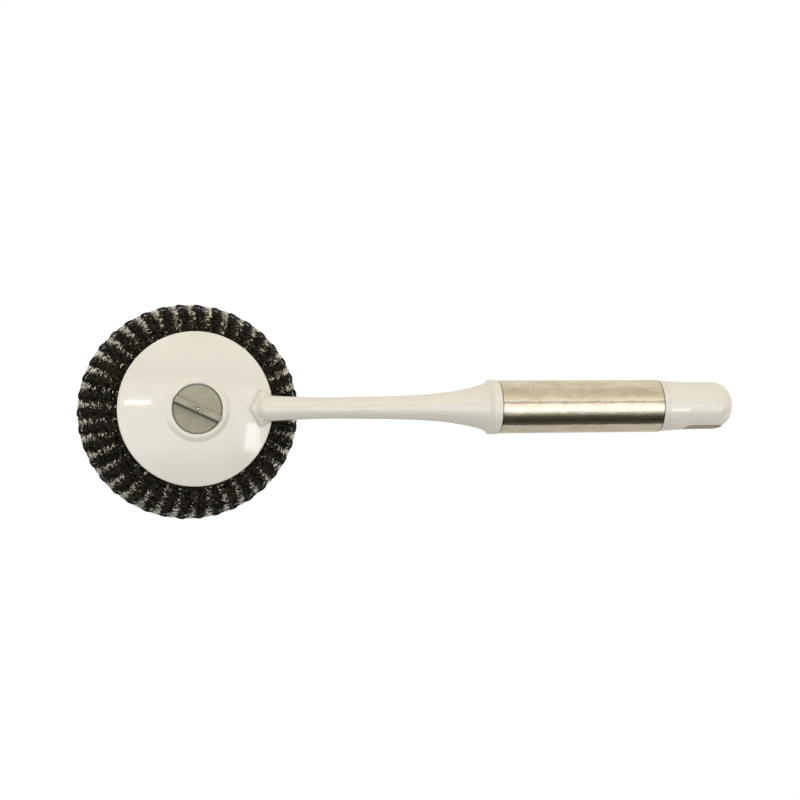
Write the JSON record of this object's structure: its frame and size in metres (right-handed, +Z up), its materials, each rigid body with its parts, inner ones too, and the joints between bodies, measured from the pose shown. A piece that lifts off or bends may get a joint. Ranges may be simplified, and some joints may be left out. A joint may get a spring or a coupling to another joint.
{
  "type": "wire scourer brush",
  "caption": "Round wire scourer brush: domed plastic head with a turn-knob that locks a knitted steel wire ring, on a slim arm and a steel-sleeved handle with a hanging slot",
  "frame": {"origin": "on the surface the brush lies on, in the middle of its outline seen from above", "axes": "+X along the brush towards the hanging end, +Y across it, +Z up; the brush lies on the scourer's rim and on the end cap"},
  "size_m": [0.2627, 0.087, 0.0553],
  "materials": {
    "ivory_plastic": "ivory, glossy injection moulding",
    "grey_plastic": "warm grey, satin injection moulding",
    "guide_plastic": "natural white acetal, satin",
    "sleeve_steel": "stainless steel tube, brushed around the handle",
    "claw_steel": "stamped stainless steel",
    "fastener_steel": "turned stainless steel",
    "spring_steel": "spring steel, dull",
    "seal_rubber": "black rubber",
    "scourer_wire": "knitted flat stainless steel wire, dark with bright glints"
  },
  "bodies": {
    "head": {"head_disc": "ivory_plastic", "knob_seal": "seal_rubber", "wave_washer": "spring_steel", "claw_carrier": "guide_plastic", "bottom_cover": "guide_plastic", "cover_screws": "fastener_steel", "front_collar": "ivory_plastic", "steel_sleeve": "sleeve_steel", "handle_core": "guide_plastic", "neck_washer": "fastener_steel", "neck_screw": "fastener_steel", "rear_collar": "ivory_plastic", "end_cap": "ivory_plastic", "cap_seal": "seal_rubber"},
    "knob": {"turn_knob": "grey_plastic", "spindle": "fastener_steel", "scroll_cam": "guide_plastic", "retaining_clip": "spring_steel"},
    "claw_1": {"claw_1": "claw_steel"},
    "claw_2": {"claw_2": "claw_steel"},
    "claw_3": {"claw_3": "claw_steel"},
    "scourer": {"wire_scourer": "scourer_wire"}
  },
  "joints": [
    {"name": "knob_turn", "type": "hinge", "parent": "head", "child": "knob", "pos_m": [-0.0817, 0, 0.05069], "axis": [0.2613, 0, 0.9653], "range_deg": [0, 90]},
    {"name": "claw_1_slide", "type": "slide", "parent": "head", "child": "claw_1", "axis": [-0.9653, 0, 0.2613], "range_m": [0, 0.004]},
    {"name": "claw_2_slide", "type": "slide", "parent": "head", "child": "claw_2", "axis": [0.4826, -0.866, -0.1306], "range_m": [0, 0.004]},
    {"name": "claw_3_slide", "type": "slide", "parent": "head", "child": "claw_3", "axis": [0.4826, 0.866, -0.1306], "range_m": [0, 0.004]},
    {"name": "scourer_release", "type": "slide", "parent": "head", "child": "scourer", "axis": [-0.2613, 0, -0.9653], "range_m": [0, 0.06]}
  ],
  "couplings": [
    {"joint": "claw_2_slide", "follows": "claw_1_slide", "ratio": 1},
    {"joint": "claw_3_slide", "follows": "claw_1_slide", "ratio": 1},
    {"joint": "knob_turn", "follows": "claw_1_slide", "rad_per_m": 392.69}
  ]
}
